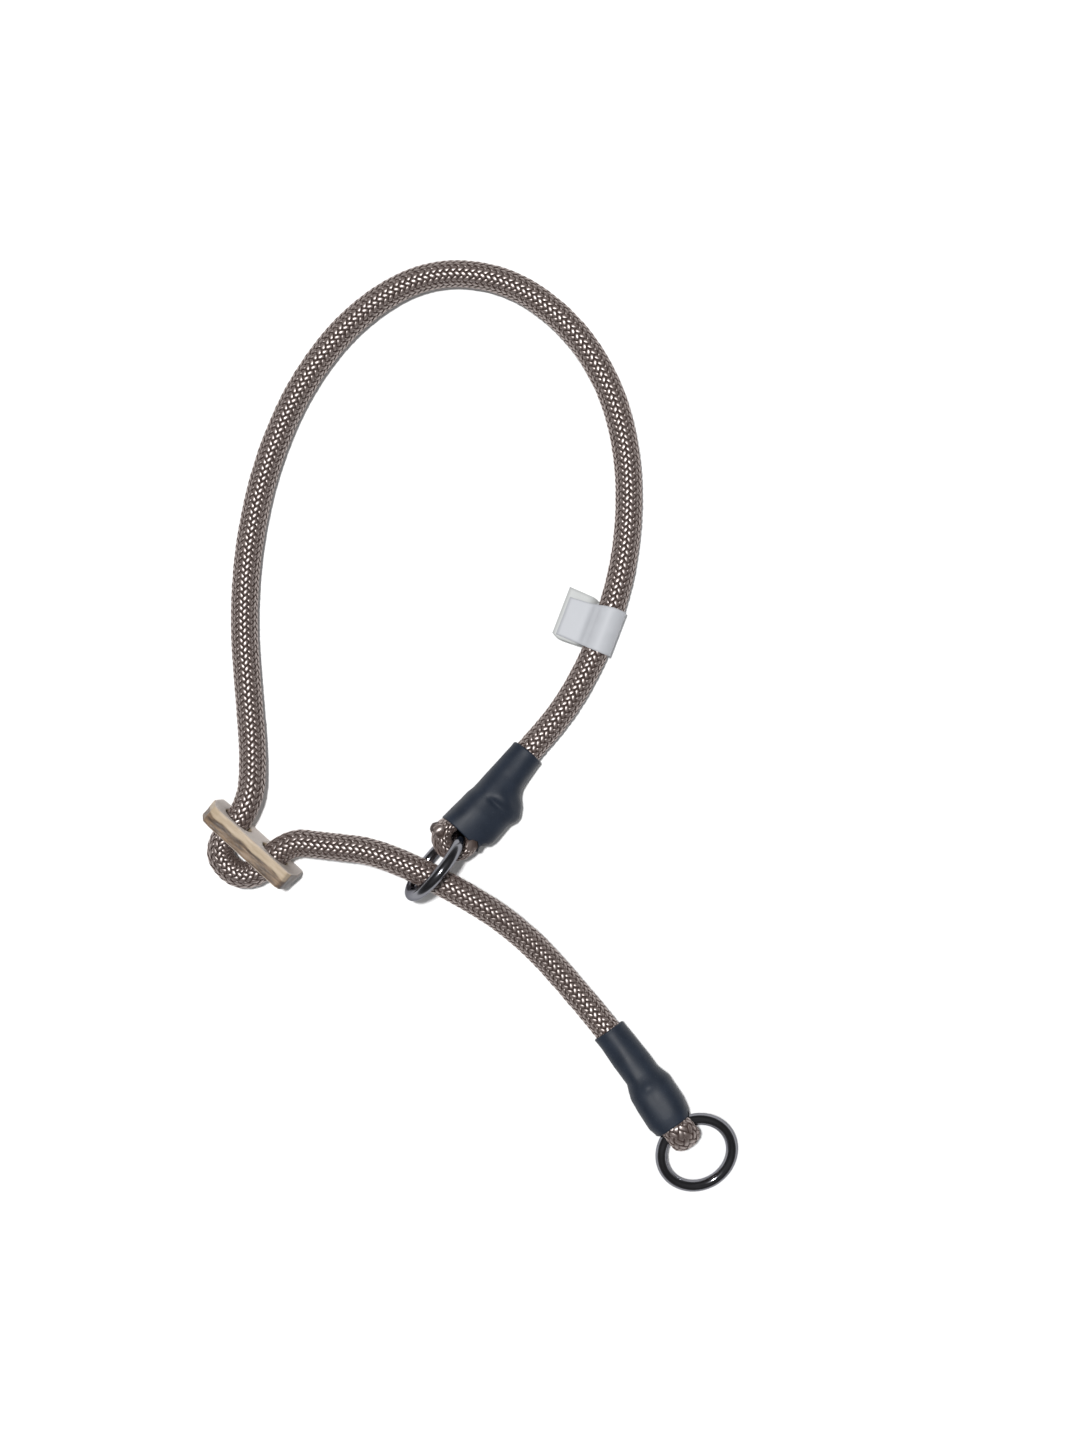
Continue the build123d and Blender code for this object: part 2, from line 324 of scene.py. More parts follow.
def stretched(tree, places, scale, axes=None):
    """Places measured along the given axes and scaled, so that a pattern can run along them."""
    if axes:
        turned = [put(tree, "ShaderNodeVectorMath", {0: places, 1: tuple(a)},
                      operation="DOT_PRODUCT").outputs["Value"] for a in axes]
        places = put(tree, "ShaderNodeCombineXYZ", dict(enumerate(turned))).outputs[0]
    return vector_math(tree, "MULTIPLY", places, tuple(scale))


def noise_of(tree, places, scale, detail=3.0, roughness=0.55):
    return put(tree, "ShaderNodeTexNoise", {"Vector": places, "Scale": scale, "Detail": detail,
                                            "Roughness": roughness}).outputs["Fac"]


def places_of(tree):
    """The piece's own coordinates."""
    return put(tree, "ShaderNodeTexCoord").outputs["Object"]


def stored(tree, name):
    """What a piece's mesh keeps for each point under a name."""
    return put(tree, "ShaderNodeAttribute", attribute_name=name).outputs["Fac"]


def new_material(name):
    material = bpy.data.materials.new(name)
    material.use_nodes = True
    tree = material.node_tree
    return material, tree, tree.nodes["Principled BSDF"]


def bump(tree, height, strength, distance):
    return put(tree, "ShaderNodeBump", {"Height": height, "Strength": strength,
                                        "Distance": distance}).outputs[0]


def handling_group():
    """Shared finish: uneven gloss and tiny dents from handling, in the piece's own coordinates."""
    group = bpy.data.node_groups.get("Handling")
    if group:
        return group
    group = bpy.data.node_groups.new("Handling", "ShaderNodeTree")
    sockets = group.interface
    for name, default in (("Patch Scale", 90.0), ("Grain Scale", 2500.0), ("Amount", 1.0)):
        socket = sockets.new_socket(name, in_out="INPUT", socket_type="NodeSocketFloat")
        socket.default_value = default
    for name in ("Patches", "Grain", "Height"):
        sockets.new_socket(name, in_out="OUTPUT", socket_type="NodeSocketFloat")
    source = put(group, "NodeGroupInput")
    places = places_of(group)
    patches = noise_of(group, places, source.outputs["Patch Scale"], 4.0)
    grain = noise_of(group, places, source.outputs["Grain Scale"], 2.0)
    centred = math(group, "SUBTRACT", patches, 0.5)
    patches = math(group, "ADD", times(group, centred, source.outputs["Amount"]), 0.5)
    height = math(group, "ADD", times(group, grain, 0.5), patches)
    put(group, "NodeGroupOutput", {"Patches": patches, "Grain": grain, "Height": height})
    return group


def handling(tree, patch_scale, grain_scale, amount=1.0):
    node = put(tree, "ShaderNodeGroup", node_tree=handling_group())
    give(tree, node, {"Patch Scale": patch_scale, "Grain Scale": grain_scale, "Amount": amount})
    return node.outputs


def between(tree, value, low, high):
    """Value from 0 to 1 spread over low to high."""
    return math(tree, "ADD", times(tree, value, high - low), low)


# ---- settings that a user would change
class CordSettings(bpy.types.PropertyGroup):
    diameter: FloatProperty(name="Diameter", description="Cord diameter over the braid",
                            default=0.008, min=0.002, unit="LENGTH")
    pitch: FloatProperty(name="Braid Pitch", description="From one float to the next in a column",
                         default=0.0019, min=0.0005, unit="LENGTH")
    columns: IntProperty(name="Columns", description="Columns of floats round the cord",
                         default=16, min=8, max=32)
    yarn: FloatVectorProperty(name="Yarn", description="Colour of the braid's yarns",
                              default=(0.072, 0.049, 0.043), subtype="COLOR")
    # Painted shade: the dark colour that stands for the shade in the gaps between the yarns; the core
    # takes it too.
    gap: FloatVectorProperty(name="Gaps", description="Colour deep between the yarns",
                             default=(0.030, 0.017, 0.014), subtype="COLOR")


class RingSettings(bpy.types.PropertyGroup):
    radius: FloatProperty(name="Radius", description="From the ring's middle to its wire's middle",
                          default=0.01075, min=0.004, unit="LENGTH")
    wire: FloatProperty(name="Wire", description="Diameter of the ring's wire",
                        default=0.0035, min=0.001, unit="LENGTH")
    colour: FloatVectorProperty(name="Metal", description="Colour of the dark nickel plating",
                                default=(0.23, 0.23, 0.25), subtype="COLOR")


class SleeveSettings(bpy.types.PropertyGroup):
    wall: FloatProperty(name="Wall", description="Thickness of the shrunk tube",
                        default=0.0005, min=0.0002, unit="LENGTH")
    colour: FloatVectorProperty(name="Tube", description="Colour of the shrunk tube",
                                default=(0.0115, 0.0170, 0.0285), subtype="COLOR")
    thread: FloatVectorProperty(name="Thread", description="Colour of the binding thread",
                                default=(0.09, 0.06, 0.05), subtype="COLOR")


class StopSettings(bpy.types.PropertyGroup):
    length: FloatProperty(name="Length", description="Length of the antler slice",
                          default=0.030, min=0.02, unit="LENGTH")
    thickness: FloatProperty(name="Thickness", description="Thickness between its sawn faces",
                             default=0.006, min=0.002, unit="LENGTH")
    hole: FloatProperty(name="Hole", description="Diameter of each cord hole",
                        default=0.0096, min=0.004, unit="LENGTH")
    spacing: FloatProperty(name="Hole Spacing", description="Distance between the holes' middles",
                           default=0.0145, min=0.008, unit="LENGTH")
    cream: FloatVectorProperty(name="Antler", description="Colour of the polished outside",
                               default=(0.42, 0.335, 0.235), subtype="COLOR")
    bark: FloatVectorProperty(name="Bark", description="Colour of the brown outer skin",
                              default=(0.125, 0.085, 0.060), subtype="COLOR")


class TagSettings(bpy.types.PropertyGroup):
    reach: FloatProperty(name="Reach", description="From the cord's middle to the flap's tip",
                         default=0.0129, min=0.008, unit="LENGTH")
    width: FloatProperty(name="Width", description="Width of the film along the cord",
                         default=0.0135, min=0.005, unit="LENGTH")
    colour: FloatVectorProperty(name="Film", description="Colour of the satin film",
                                default=(0.44, 0.45, 0.475), subtype="COLOR")


class StageSettings(bpy.types.PropertyGroup):
    height: FloatProperty(name="Camera Height", description="Height of the camera over the floor",
                          default=0.654, min=0.2, unit="LENGTH")
    lens: FloatProperty(name="Focal Length", description="Focal length for a 36 mm high picture",
                        default=54.84, min=10.0)
    floor: FloatVectorProperty(name="Floor", description="Colour of the pale floor",
                               default=(0.94, 0.94, 0.94), subtype="COLOR")


# ---- the cord
def route_line():
    """Points of the smooth line that the whole cord follows."""
    curve = bpy.data.curves.new("cord_route", "CURVE")
    curve.dimensions = "3D"
    curve.resolution_u = LINE_RESOLUTION
    spline = curve.splines.new("NURBS")
    spline.points.add(len(ROUTE) - 1)
    for point, place in zip(spline.points, ROUTE):
        point.co = (*place, 1.0)
    spline.order_u = 3
    spline.use_endpoint_u = True
    holder = bpy.data.objects.new("cord_route", curve)
    mesh = bpy.data.meshes.new_from_object(holder)
    line = read_points(mesh)
    bpy.data.objects.remove(holder)
    bpy.data.curves.remove(curve)
    bpy.data.meshes.remove(mesh)
    keep = np.r_[True, np.linalg.norm(np.diff(line, axis=0), axis=1) > 1e-7]
    return line[keep]


def carried_sides(ahead, first):
    """A sideways direction carried along the line without twisting about it."""
    sides = [first]
    for direction in ahead:
        side = sides[-1] - direction * (sides[-1] @ direction)
        sides.append(side / np.linalg.norm(side))
    return np.array(sides[1:])


class CordGuide:
    """The cord's line with the two directions that its section is measured in at each point."""

    def __init__(self):
        self.line = route_line()
        steps = np.linalg.norm(np.diff(self.line, axis=0), axis=1)
        self.arc = np.r_[0.0, np.cumsum(steps)]
        ahead = unit(np.gradient(self.line, self.arc, axis=0))
        _, _, sliding_through = frame_of(
            SLIDING_MOUTH - SLIDING_EYE_HOLE,
            SLIDING_RING_AXIS.cross(SLIDING_EYE_HOLE - SLIDING_RING_CENTRE))
        lead_through = UP.cross(LEAD_MOUTH - LEAD_EYE_HOLE).normalized()
        side = carried_sides(ahead, np.array(sliding_through))
        up = np.cross(ahead, side)
        self.across, self.rise = side.copy(), up.copy()
        out = 1 - smooth_step((self.arc - self.at(SLIDING_PRESS_RUN)) / PRESS_LENGTH + 0.5)
        back = smooth_step((self.arc - self.at(LEAD_PRESS_RUN)) / PRESS_LENGTH + 0.5)
        for share, through in ((out, sliding_through), (back, lead_through)):
            self.press(side, up, share, np.array(through))

    def press(self, side, up, share, through):
        """Widens the section along through and thins it across, by share."""
        a, b = side @ through, up @ through
        size = np.maximum(np.hypot(a, b), 1e-9)
        a, b = a / size, b / size
        wide, thin = 1 + share * (PRESSED_WIDE - 1), 1 + share * (PRESSED_THIN - 1)
        cross = (wide - thin) * a * b
        use = share > 0
        across = side * (wide * a * a + thin * b * b)[:, None] + up * cross[:, None]
        rise = side * cross[:, None] + up * (wide * b * b + thin * a * a)[:, None]
        self.across[use], self.rise[use] = across[use], rise[use]

    def at(self, run):
        """Distance along the line where it passes the middle of a run of the route."""
        middle = (np.array(ROUTE[run]) + np.array(ROUTE[run + 1])) / 2
        shares = np.arange(len(self.line)) / len(self.line)
        near = np.abs(shares - (run + 0.5) / (len(ROUTE) - 1)) < 0.04
        far = np.where(near, np.linalg.norm(self.line - middle, axis=1), 1.0)
        return float(self.arc[far.argmin()])

    def mesh(self, name):
        mesh = bpy.data.meshes.new(name)
        edges = [(k, k + 1) for k in range(len(self.line) - 1)]
        mesh.from_pydata([tuple(p) for p in self.line], edges, [])
        store(mesh, "across", "FLOAT_VECTOR", self.across)
        store(mesh, "rise", "FLOAT_VECTOR", self.rise)
        return mesh


def yarn_float(name, hand, settings):
    """One float: the grain-shaped stretch of yarn that shows between two crossings, at the top
    of a straight cord along X. Its ends dive under the next columns."""
    radius = settings.diameter / 2
    half_turn = pi / settings.columns
    run = Vector((settings.pitch / 2, hand * radius * half_turn))
    ahead = run.normalized()
    aside = Vector((-ahead.y, ahead.x))
    half_length = run.length * FLOAT_OVERLAP
    stations = (-1.0, -0.8, -0.5, -0.17, 0.17, 0.5, 0.8, 1.0)
    crown = (-1.0, -0.62, -0.21, 0.21, 0.62, 1.0)
    around = len(crown) + 1      # the last point of each station is on the underside
    points, marks = [], []
    for s in stations:
        top = radius - FLOAT_DIVE * abs(s) ** 4.0
        half_width = FLOAT_WIDTH / 2 * (1 - FLOAT_NARROWING * abs(s) ** 3)
        for w in (*crown, 0.0):
            under = len(points) % around == around - 1
            flat = ahead * (s * half_length) + aside * (w * half_width)
            height = top - (FLOAT_DEPTH if under else FLOAT_CROWN * w * w)
            turn = flat.y / radius
            points.append((flat.x, height * sin(turn), height * cos(turn)))
            marks.append(((s + 1) / 2, 0.5 if under else (w + 1) / 2))
    faces = [tuple(reversed(f)) for f in rod_faces(len(stations), around)]
    made = add_mesh(name, points, faces)
    layer = made.data.uv_layers.new(name="yarn")
    for loop in made.data.loops:
        layer.data[loop.index].uv = marks[loop.vertex_index]
    face_outwards(made.data)
    return made


def braid_tree():
    """Lays floats in columns round a straight cord, then bends them along the guide line."""
    tree = bpy.data.node_groups.new("Braid", "GeometryNodeTree")
    kinds = (
        ("Guide", "NodeSocketGeometry"), ("Float", "NodeSocketObject"),
        ("Pitch", "NodeSocketFloat"), ("Columns", "NodeSocketInt"),
        ("Row Shift", "NodeSocketFloat"), ("First Angle", "NodeSocketFloat"),
        ("First Row", "NodeSocketInt"), ("Rows", "NodeSocketInt"),
        ("Turn Jitter", "NodeSocketFloat"), ("Size Jitter", "NodeSocketFloat"),
        ("Seed", "NodeSocketInt"), ("Material", "NodeSocketMaterial"),
    )
    for name, kind in kinds:
        tree.interface.new_socket(name, in_out="INPUT", socket_type=kind)
    tree.interface.new_socket("Braid", in_out="OUTPUT", socket_type="NodeSocketGeometry")
    given = put(tree, "NodeGroupInput").outputs
    curve = put(tree, "GeometryNodeMeshToCurve", {0: given["Guide"]}).outputs[0]
    length = put(tree, "GeometryNodeCurveLength", {0: curve}).outputs[0]
    index = put(tree, "GeometryNodeInputIndex").outputs[0]
    columns = given["Columns"]
    row = math(tree, "FLOOR", math(tree, "DIVIDE", math(tree, "ADD", index, 0.5), columns))
    column = math(tree, "SUBTRACT", index, times(tree, row, columns))
    row = math(tree, "ADD", math(tree, "ADD", row, given["First Row"]), given["Row Shift"])
    place = put(tree, "ShaderNodeCombineXYZ", {0: times(tree, row, given["Pitch"])})
    points = put(tree, "GeometryNodePoints", {
        "Count": times(tree, given["Rows"], columns), "Position": place.outputs[0]})

    def chance(low, high, step):
        """A random number for each float; step sets it apart from the other draws."""
        node = put(tree, "FunctionNodeRandomValue", data_type="FLOAT")
        for name, value in (("Min", low), ("Max", high)):
            socket = [s for s in node.inputs if s.name == name and s.type == "VALUE"][0]
            if isinstance(value, bpy.types.NodeSocket):
                tree.links.new(value, socket)
            else:
                socket.default_value = value
        seed = [s for s in node.inputs if s.name == "Seed"][0]
        tree.links.new(math(tree, "ADD", given["Seed"], float(step)), seed)
        return [s for s in node.outputs if s.type == "VALUE" and s.enabled][0]

    jitter = given["Turn Jitter"]
    turn = math(tree, "DIVIDE", times(tree, column, 2 * pi), columns)
    turn = math(tree, "ADD", math(tree, "ADD", turn, given["First Angle"]),
                chance(times(tree, jitter, -1.0), jitter, 1))
    euler = put(tree, "ShaderNodeCombineXYZ", {0: turn}).outputs[0]
    rotation = put(tree, "FunctionNodeEulerToRotation", {0: euler}).outputs[0]
    grown = given["Size Jitter"]
    size = math(tree, "ADD", chance(times(tree, grown, -1.0), grown, 2), 1.0)
    grain = put(tree, "GeometryNodeObjectInfo", {"Object": given["Float"]},
                transform_space="ORIGINAL").outputs["Geometry"]
    laid = put(tree, "GeometryNodeInstanceOnPoints", {
        "Points": points.outputs[0], "Instance": grain, "Rotation": rotation, "Scale": size})
    tinted = put(tree, "GeometryNodeStoreNamedAttribute", {
        "Geometry": laid.outputs[0], "Name": "tint", "Value": chance(0.0, 1.0, 3)},
        data_type="FLOAT", domain="INSTANCE")
    real = put(tree, "GeometryNodeRealizeInstances", {0: tinted.outputs[0]}).outputs[0]
    where = put(tree, "ShaderNodeSeparateXYZ", {
        0: put(tree, "GeometryNodeInputPosition").outputs[0]}).outputs
    inside = math(tree, "MINIMUM", math(tree, "MAXIMUM", where[0], 0.0), length)
    bent = None
    for label, amount in (("across", where[1]), ("rise", where[2])):
        field = put(tree, "GeometryNodeInputNamedAttribute", {"Name": label},
                    data_type="FLOAT_VECTOR").outputs["Attribute"]
        sample = put(tree, "GeometryNodeSampleCurve", {
            "Curves": curve, "Value": field, "Length": inside},
            data_type="FLOAT_VECTOR", mode="LENGTH")
        bent = bent or vector_math(
            tree, "ADD", sample.outputs["Position"],
            scaled(tree, sample.outputs["Tangent"], math(tree, "SUBTRACT", where[0], inside)))
        bent = vector_math(tree, "ADD", bent, scaled(tree, sample.outputs["Value"], amount))
    moved = put(tree, "GeometryNodeSetPosition", {"Geometry": real, "Position": bent})
    finished = put(tree, "GeometryNodeSetMaterial", {
        "Geometry": moved.outputs[0], "Material": given["Material"]})
    put(tree, "NodeGroupOutput", {0: finished.outputs[0]})
    return tree


def braid_floats(name, guide, tree, float_object, settings, material, hand, rows):
    """One hand of the braid's floats over a stretch of the cord, as a plain mesh."""
    holder = add_object(name + "_guide", guide.mesh(name + "_guide"))
    modifier = holder.modifiers.new("Braid", "NODES")
    modifier.node_group = tree
    values = {
        "Float": float_object, "Pitch": settings.pitch, "Columns": settings.columns // 2,
        "Row Shift": 0.25 if hand > 0 else 0.75,
        "First Angle": 0.0 if hand > 0 else 2 * pi / settings.columns,
        "First Row": rows[0], "Rows": rows[1] - rows[0], "Turn Jitter": TURN_JITTER,
        "Size Jitter": SIZE_JITTER, "Seed": 11 if hand > 0 else 47, "Material": material,
    }
    for item in tree.interface.items_tree:
        if item.in_out == "INPUT" and item.name in values:
            modifier[item.identifier] = values[item.name]
    return made_plain(holder, name)


def core_tube(name, guide, settings, material, start, end):
    """Closed tube under the floats, dark with the painted shade of the gaps; returns it and the line that
    it follows.
    """
    radius = settings.diameter / 2 * CORE_SHARE
    inside = np.flatnonzero((guide.arc >= start) & (guide.arc <= end))
    turns = np.arange(CORE_SIDES) * 2 * pi / CORE_SIDES
    rings = (guide.line[inside, None]
             + guide.across[inside, None] * np.cos(turns)[None, :, None] * radius
             + guide.rise[inside, None] * np.sin(turns)[None, :, None] * radius)
    made = add_mesh(name, rings.reshape(-1, 3), rod_faces(len(inside), CORE_SIDES), material)
    return made, guide.line[inside]


def press_round_wire(points, centre, axis, radius, room):
    """Pushes points that lie within room of a ring's wire out to room."""
    offset = points - np.array(centre)
    height = offset @ np.array(axis)
    flat = offset - np.outer(height, np.array(axis))
    span = np.maximum(np.linalg.norm(flat, axis=1), 1e-9)
    core = np.array(centre) + flat / span[:, None] * radius
    away = points - core
    far = np.maximum(np.linalg.norm(away, axis=1), 1e-9)
    near = far < room
    points[near] = core[near] + away[near] / far[near, None] * room
    return points


def ring_places():
    """Centre and axis of both rings where they lie and where their joints can bring them."""
    places = [(SLIDING_RING_CENTRE + SLIP_AXIS * slip, SLIDING_RING_AXIS) for slip in SLIPS]
    for swing in SWINGS:
        turn = Matrix.Rotation(radians(swing), 3, SWING_AXIS)
        swung = LEAD_EYE_HOLE + turn @ (LEAD_RING_CENTRE - LEAD_EYE_HOLE)
        places.append((swung, turn @ LEAD_RING_AXIS))
    return places


def settle(obj, rings, lift):
    """Indents a piece where the rings' wires lie or come, and keeps it on the floor."""
    points = read_points(obj.data)
    for centre, axis in ring_places():
        points = press_round_wire(points, centre, axis, rings.radius, rings.wire / 2 + lift)
    points[:, 2] = np.maximum(points[:, 2], FLOOR_GAP)
    write_points(obj.data, points)


def yarn_material(settings):
    material, tree, shader = new_material("braid_yarn")
    marks = put(tree, "ShaderNodeUVMap", uv_map="yarn").outputs[0]
    parts = put(tree, "ShaderNodeSeparateXYZ", {0: marks}).outputs
    tint = stored(tree, "tint")
    side = math(tree, "ABSOLUTE", math(tree, "SUBTRACT", parts[1], 0.5))
    end = math(tree, "ABSOLUTE", math(tree, "SUBTRACT", parts[0], 0.5))
    depth = math(tree, "MAXIMUM", side, times(tree, end, 0.97))
    # Painted shade: a float's sides and ends grow darker towards the gap colour where it dives under its
    # neighbours, and lose their gloss there.
    shade = ramp(tree, depth, (0.0, 0.0), (0.24, 0.12), (0.42, 0.85), (0.5, 1.0))
    shifted = put(tree, "ShaderNodeCombineXYZ", {
        0: times(tree, parts[0], 1.3), 1: times(tree, parts[1], 9.0),
        2: times(tree, tint, 37.0)}).outputs[0]
    filaments = noise_of(tree, shifted, 1.6, 3.0, 0.65)
    lines = ramp(tree, filaments, (0.30, 0.0), (0.70, 1.0))
    wear = noise_of(tree, places_of(tree), 70.0, 3.0)
    base = mixed(tree, times(tree, lines, 0.45), rgba(settings.yarn), rgba(settings.yarn, 1.75))
    base = mixed(tree, times(tree, tint, 0.30), base, rgba(settings.yarn, 0.62))
    base = mixed(tree, times(tree, wear, 0.35), base, rgba(settings.yarn, 1.25, 1.1, 0.95))
    # The base colour takes the painted shade of the gaps at the floats' edges and ends.
    give(tree, shader, {
        "Base Color": mixed(tree, shade, base, rgba(settings.gap)),
        "Roughness": between(tree, lines, 0.36, 0.44),
        "Normal": bump(tree, filaments, 0.22, 0.0001),
        "IOR": 2.6,
        "Specular IOR Level": times(tree, math(tree, "SUBTRACT", 1.0, shade), 0.9),
        "Specular Tint": (1.0, 0.90, 0.86, 1),
        "Sheen Weight": 0.32,
        "Sheen Roughness": 0.45,
        "Sheen Tint": (0.95, 0.76, 0.70, 1),
    })
    return material


def core_material(settings):
    material, tree, shader = new_material("braid_core")
    fibres = noise_of(tree, places_of(tree), 1800.0, 3.0)
    give(tree, shader, {
        # Painted shade: the core takes the gaps' shade colour, so it shows dark between the floats.
        "Base Color": mixed(tree, fibres, rgba(settings.gap), rgba(settings.gap, 2.2)),
        "Roughness": between(tree, fibres, 0.7, 0.9),
        "Normal": bump(tree, fibres, 0.6, 0.0002),
    })
    return material


class COLLAR_OT_make_cord(bpy.types.Operator):
    """Make the braided cord: its core tubes and both hands of floats on each of its bodies"""

    bl_idname = "collar.make_cord"
    bl_label = "Make Cord"

    def execute(self, context):
        settings, rings = context.scene.collar_cord, context.scene.collar_ring
        guide = CordGuide()
        neck, stop, whole = guide.at(NECK_LOOP_RUN), guide.at(STOP_RUN), guide.arc[-1]
        yarn, dark = yarn_material(settings), core_material(settings)
        tree = braid_tree()
        hands = {hand: yarn_float("float", hand, settings) for hand in (1, -1)}
        sections = (
            ("sliding_eye_rope", 0.0, neck, ("rope_sliding_eye",)),
            ("neck_loop_rope", neck, stop, ("rope_neck_loop",)),
            ("tail_rope", stop, whole, ("rope_stop_bight", "rope_tail", "rope_lead_eye")),
        )
        for name, start, end, nodes in sections:
            core, path = core_tube(name + "_core", guide, settings, dark, start, end)
            settle(core, rings, CORE_LIFT)
            rows = round(start / settings.pitch), round(end / settings.pitch)
            floats = []
            for hand, label in ((1, "_right_yarns"), (-1, "_left_yarns")):
                made = braid_floats(name + label, guide, tree, hands[hand], settings, yarn,
                                    hand, rows)
                settle(made, rings, YARN_LIFT)
                floats.append(made)
            for piece in (core, *floats):
                if name == "neck_loop_rope":
                    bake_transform(piece)
                else:
                    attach(piece, "sliding_eye" if name == "sliding_eye_rope" else "cord")
            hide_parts(*nodes)
        for grain in hands.values():
            bpy.data.objects.remove(grain)
        return {"FINISHED"}


# ---- rings
def torus(name, centre, axis, radius, wire, material):
    """A closed ring of round wire, whose radius is wire."""
    across = axis.orthogonal().normalized()
    beside = axis.cross(across)
    points = []
    for k in range(RING_STEPS):
        turn = 2 * pi * k / RING_STEPS
        outward = across * cos(turn) + beside * sin(turn)
        for j in range(WIRE_STEPS):
            tilt = 2 * pi * j / WIRE_STEPS
            reach, lift = radius + wire * cos(tilt), wire * sin(tilt)
            points.append(centre + outward * reach + axis * lift)
    faces = []
    for k in range(RING_STEPS):
        for j in range(WIRE_STEPS):
            a, b = k * WIRE_STEPS + j, k * WIRE_STEPS + (j + 1) % WIRE_STEPS
            c = (k + 1) % RING_STEPS * WIRE_STEPS
            faces.append((a, c + j, c + (j + 1) % WIRE_STEPS, b))
    return add_mesh(name, points, faces, material)


def nickel_material(settings):
    material, tree, shader = new_material("black_nickel")
    marks = handling(tree, 160.0, 5200.0)
    smudges = ramp(tree, marks["Patches"], (0.35, 0.0), (0.75, 1.0))
    give(tree, shader, {
        "Base Color": mixed(tree, marks["Patches"], rgba(settings.colour, 0.8),
                            rgba(settings.colour, 1.25)),
        "Roughness": between(tree, smudges, 0.07, 0.20),
        "Normal": bump(tree, marks["Height"], 0.06, 0.0001),
        "Metallic": 1.0,
        "Specular Tint": (0.40, 0.40, 0.42, 1),
    })
    return material


class COLLAR_OT_make_rings(bpy.types.Operator):
    """Make the sliding ring and the lead ring"""

    bl_idname = "collar.make_rings"
    bl_label = "Make Rings"

    def execute(self, context):
        settings = context.scene.collar_ring
        metal = nickel_material(settings)
        for name, centre, axis in (
            ("sliding_ring", SLIDING_RING_CENTRE, SLIDING_RING_AXIS),
            ("lead_ring", LEAD_RING_CENTRE, LEAD_RING_AXIS),
        ):
            ring = torus(name + "_wire", centre, axis, settings.radius, settings.wire / 2, metal)
            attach(ring, name)
            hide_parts(name)
        return {"FINISHED"}


# ---- shrunk sleeves
# Each profile row is distance from the wide end, reach to one side, reach to the other side,
# reach up and reach down, and the section's squareness, in millimetres.
SLIDING_PROFILE = (
    (0.0, 7.3, 7.2, 5.9, 5.9, 2.7), (4.4, 6.8, 8.9, 6.1, 6.1, 2.7), (8.0, 6.45, 9.3, 6.2, 6.1, 2.6),
    (10.9, 6.3, 9.4, 6.1, 6.1, 2.5), (13.1, 5.8, 10.2, 6.1, 6.0, 2.4), (15.2, 5.65, 10.1, 6.0, 5.9, 2.3),
    (17.4, 5.6, 8.9, 5.8, 5.7, 2.2), (19.6, 5.5, 6.6, 5.5, 5.4, 2.1), (21.4, 5.45, 5.7, 5.2, 5.2, 2.1),
    (25.0, 5.2, 5.3, 4.9, 4.9, 2.05), (29.0, 5.0, 4.9, 4.75, 4.7, 2.0), (31.0, 5.05, 4.9, 4.75, 4.7, 2.0),
)
LEAD_PROFILE = (
    (0.0, 5.75, 5.7, 6.7, 6.6, 2.4), (1.6, 6.1, 6.4, 6.9, 6.8, 2.5), (3.0, 6.45, 6.7, 6.9, 6.8, 2.6),
    (5.0, 6.4, 7.1, 6.9, 6.7, 2.6), (9.0, 6.4, 7.2, 6.8, 6.6, 2.6), (13.1, 6.0, 7.3, 6.6, 6.4, 2.4),
    (15.5, 5.2, 6.5, 6.1, 6.0, 2.2), (17.3, 4.45, 6.0, 5.7, 5.7, 2.1), (23.9, 4.8, 5.75, 5.1, 5.1, 2.0),
    (30.0, 4.7, 5.2, 4.8, 4.8, 2.0), (32.6, 4.85, 5.05, 4.8, 4.8, 2.0), (33.3, 5.0, 5.1, 4.95, 4.95, 2.0),
)
# Bulges and dents of the tube: distance from the wide end, angle round it, spread along, spread
# round, and height, in millimetres and degrees; angle 0 is the first side and 90 is up.
SLIDING_DENTS = (
    (15.5, 104.0, 1.9, 2.0, 0.75), (12.9, 92.0, 0.9, 2.0, -0.55), (6.0, 92.0, 4.0, 2.4, 0.30),
    (14.2, 172.0, 1.8, 2.0, 0.30), (23.5, 150.0, 3.0, 2.0, -0.25), (9.0, 150.0, 3.5, 1.6, -0.20),
)
LEAD_DENTS = (
    (13.6, 92.0, 1.5, 1.6, 0.40), (17.5, 90.0, 2.6, 2.4, -0.20), (3.2, 90.0, 1.2, 3.4, 0.15),
    (25.0, 60.0, 4.0, 2.0, -0.15),
)

def exp_fall(x):
    return float(np.exp(-x * x))


